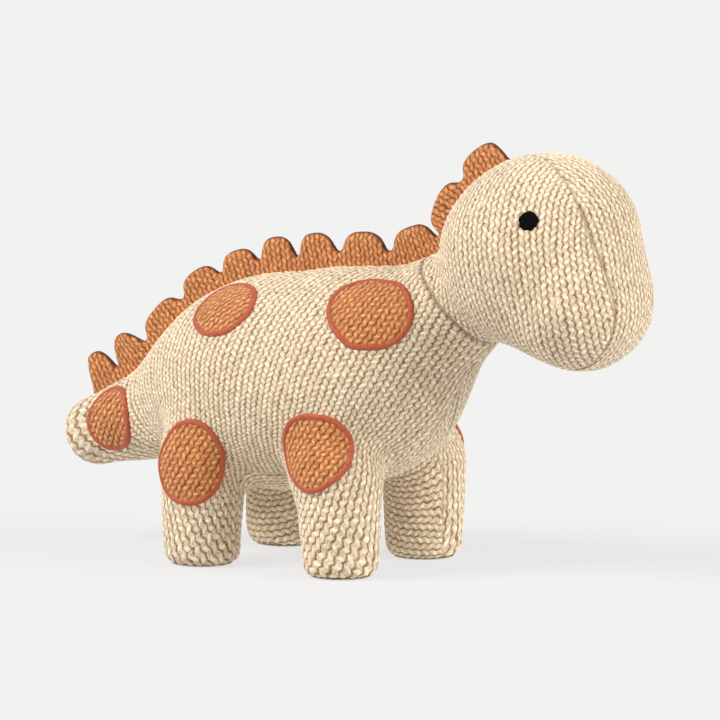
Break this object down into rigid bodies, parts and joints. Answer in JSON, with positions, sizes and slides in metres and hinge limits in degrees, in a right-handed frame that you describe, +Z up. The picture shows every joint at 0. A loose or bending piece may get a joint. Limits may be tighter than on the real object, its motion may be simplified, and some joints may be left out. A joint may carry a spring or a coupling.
{
  "type": "stuffed dinosaur",
  "caption": "Stuffed knitted dinosaur with a rounded head, stubby legs, a short tail, a scalloped ridge along the spine and sewn-on patches.",
  "frame": {"origin": "on the floor under the middle of the length, in the middle plane", "axes": "+X towards the nose, +Y to the dinosaur's left side, +Z up"},
  "size_m": [0.3469, 0.1362, 0.2241],
  "materials": {
    "cream_knit": "matt knitted cotton, seed stitch",
    "filling": "soft fibre filling",
    "patch_knit": "matt knitted cotton",
    "satin_thread": "satin-stitched thread with a slight sheen",
    "ridge_knit": "matt knitted cotton, padded",
    "eye_thread": "satin-stitched black thread"
  },
  "bodies": {
    "torso": {"torso_filling": "filling", "side_panel_right": "cream_knit", "side_panel_left": "cream_knit", "belly_gusset": "cream_knit", "ridge_back": "ridge_knit", "back_patch_right": "patch_knit", "back_border_right": "satin_thread", "back_patch_left": "patch_knit", "back_border_left": "satin_thread", "shoulder_patch_right": "patch_knit", "shoulder_border_right": "satin_thread", "shoulder_patch_left": "patch_knit", "shoulder_border_left": "satin_thread", "front_hip_patch_right": "patch_knit", "front_hip_border_right": "satin_thread", "front_hip_patch_left": "patch_knit", "front_hip_border_left": "satin_thread", "rear_hip_patch_right": "patch_knit", "rear_hip_border_right": "satin_thread", "rear_hip_patch_left": "patch_knit", "rear_hip_border_left": "satin_thread"},
    "head": {"head_filling": "filling", "head_panel_right": "cream_knit", "head_panel_left": "cream_knit", "face_gusset": "cream_knit", "ridge_nape": "ridge_knit", "ridge_crown": "ridge_knit", "eye_right": "eye_thread", "eye_left": "eye_thread"},
    "tail": {"tail_filling": "filling", "tail_panel_right": "cream_knit", "tail_panel_left": "cream_knit", "ridge_rump": "ridge_knit", "ridge_tail": "ridge_knit", "tail_patch_right": "patch_knit", "tail_border_right": "satin_thread", "tail_patch_left": "patch_knit", "tail_border_left": "satin_thread"},
    "front_leg_right": {"front_leg_filling_right": "filling", "front_leg_outer_right": "cream_knit", "front_leg_inner_right": "cream_knit", "front_sole_right": "cream_knit"},
    "front_leg_left": {"front_leg_filling_left": "filling", "front_leg_outer_left": "cream_knit", "front_leg_inner_left": "cream_knit", "front_sole_left": "cream_knit"},
    "rear_leg_right": {"rear_leg_filling_right": "filling", "rear_leg_outer_right": "cream_knit", "rear_leg_inner_right": "cream_knit", "rear_sole_right": "cream_knit"},
    "rear_leg_left": {"rear_leg_filling_left": "filling", "rear_leg_outer_left": "cream_knit", "rear_leg_inner_left": "cream_knit", "rear_sole_left": "cream_knit"}
  },
  "joints": [
    {"name": "head_nod", "type": "hinge", "parent": "torso", "child": "head", "pos_m": [0.072, 0, 0.144], "axis": [0, 1, 0], "range_deg": [-8, 14], "stiffness_Nm_per_rad": 1.2, "deforming": ["ridge_nape"]},
    {"name": "tail_wag", "type": "hinge", "parent": "torso", "child": "tail", "pos_m": [-0.118, 0, 0.069], "axis": [-0.2756, 0, 0.9613], "range_deg": [-18, 18], "stiffness_Nm_per_rad": 0.25, "deforming": ["ridge_rump"]},
    {"name": "front_leg_swing_right", "type": "hinge", "parent": "torso", "child": "front_leg_right", "pos_m": [0.0185, -0.041, 0.044], "axis": [0, 1, 0], "range_deg": [-18, 18], "stiffness_Nm_per_rad": 0.6, "deforming": ["front_hip_patch_right", "front_hip_border_right"]},
    {"name": "front_leg_swing_left", "type": "hinge", "parent": "torso", "child": "front_leg_left", "pos_m": [0.0185, 0.041, 0.044], "axis": [0, 1, 0], "range_deg": [-18, 18], "stiffness_Nm_per_rad": 0.6, "deforming": ["front_hip_patch_left", "front_hip_border_left"]},
    {"name": "rear_leg_swing_right", "type": "hinge", "parent": "torso", "child": "rear_leg_right", "pos_m": [-0.0665, -0.041, 0.044], "axis": [0, 1, 0], "range_deg": [-18, 18], "stiffness_Nm_per_rad": 0.6, "deforming": ["rear_hip_patch_right", "rear_hip_border_right"]},
    {"name": "rear_leg_swing_left", "type": "hinge", "parent": "torso", "child": "rear_leg_left", "pos_m": [-0.0665, 0.041, 0.044], "axis": [0, 1, 0], "range_deg": [-18, 18], "stiffness_Nm_per_rad": 0.6, "deforming": ["rear_hip_patch_left", "rear_hip_border_left"]}
  ]
}
